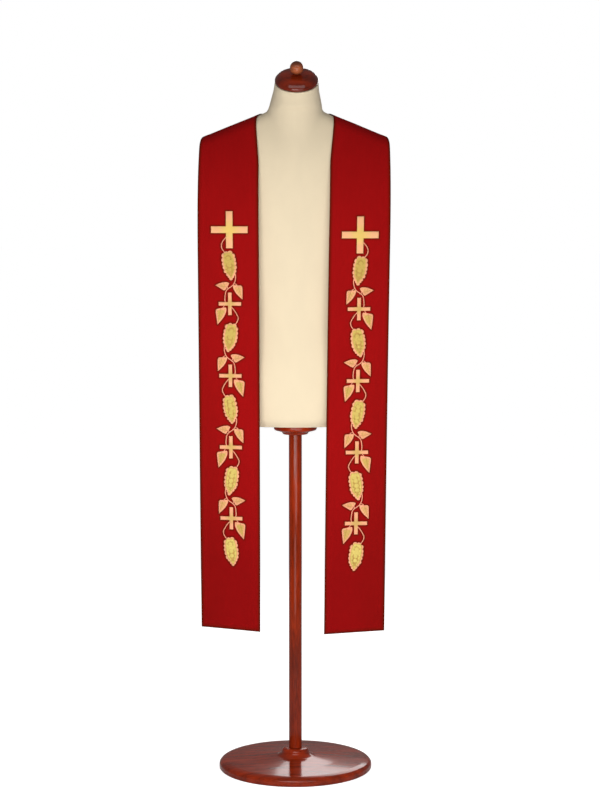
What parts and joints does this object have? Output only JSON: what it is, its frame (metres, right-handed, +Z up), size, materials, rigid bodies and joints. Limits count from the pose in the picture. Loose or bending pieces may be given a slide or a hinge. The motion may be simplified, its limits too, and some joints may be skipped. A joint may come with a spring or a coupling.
{
  "type": "clerical stole on a dress form",
  "caption": "Embroidered red stole with a mitred back and two hanging bands, worn over the shoulders of a limbless dress form on a turned wooden stand.",
  "frame": {"origin": "on the floor at the middle of the form, under the pole", "axes": "+Z up, the form faces -Y, and the wearer's left side is at +X"},
  "size_m": [0.4653, 0.38, 1.7439],
  "materials": {
    "red_cloth": "matte twill weave, lined",
    "gold_thread": "raised satin stitch in silky thread",
    "cream_jersey": "fine matte jersey",
    "red_wood": "dark reddish brown gloss varnish",
    "knob_wood": "orange-brown gloss varnish"
  },
  "bodies": {
    "root": {"stole_half_left": "red_cloth", "stole_half_right": "red_cloth", "large_cross_left": "gold_thread", "small_cross_left_1": "gold_thread", "small_cross_left_2": "gold_thread", "small_cross_left_3": "gold_thread", "small_cross_left_4": "gold_thread", "grape_bunch_left_1": "gold_thread", "grape_bunch_left_2": "gold_thread", "grape_bunch_left_3": "gold_thread", "grape_bunch_left_4": "gold_thread", "grape_bunch_left_5": "gold_thread", "leaf_side_left_1": "gold_thread", "leaf_side_left_2": "gold_thread", "leaf_side_left_3": "gold_thread", "leaf_side_left_4": "gold_thread", "leaf_upper_left_1": "gold_thread", "leaf_upper_left_2": "gold_thread", "leaf_upper_left_3": "gold_thread", "leaf_upper_left_4": "gold_thread", "leaf_lower_left_1": "gold_thread", "leaf_lower_left_2": "gold_thread", "leaf_lower_left_3": "gold_thread", "leaf_lower_left_4": "gold_thread", "large_cross_right": "gold_thread", "small_cross_right_1": "gold_thread", "small_cross_right_2": "gold_thread", "small_cross_right_3": "gold_thread", "small_cross_right_4": "gold_thread", "grape_bunch_right_1": "gold_thread", "grape_bunch_right_2": "gold_thread", "grape_bunch_right_3": "gold_thread", "grape_bunch_right_4": "gold_thread", "grape_bunch_right_5": "gold_thread", "leaf_side_right_1": "gold_thread", "leaf_side_right_2": "gold_thread", "leaf_side_right_3": "gold_thread", "leaf_side_right_4": "gold_thread", "leaf_upper_right_1": "gold_thread", "leaf_upper_right_2": "gold_thread", "leaf_upper_right_3": "gold_thread", "leaf_upper_right_4": "gold_thread", "leaf_lower_right_1": "gold_thread", "leaf_lower_right_2": "gold_thread", "leaf_lower_right_3": "gold_thread", "leaf_lower_right_4": "gold_thread", "form_body": "cream_jersey", "neck_cap": "red_wood", "cap_knob": "knob_wood", "pole_socket": "red_wood", "stand_pole": "red_wood", "stand_base": "red_wood"}
  },
  "joints": []
}
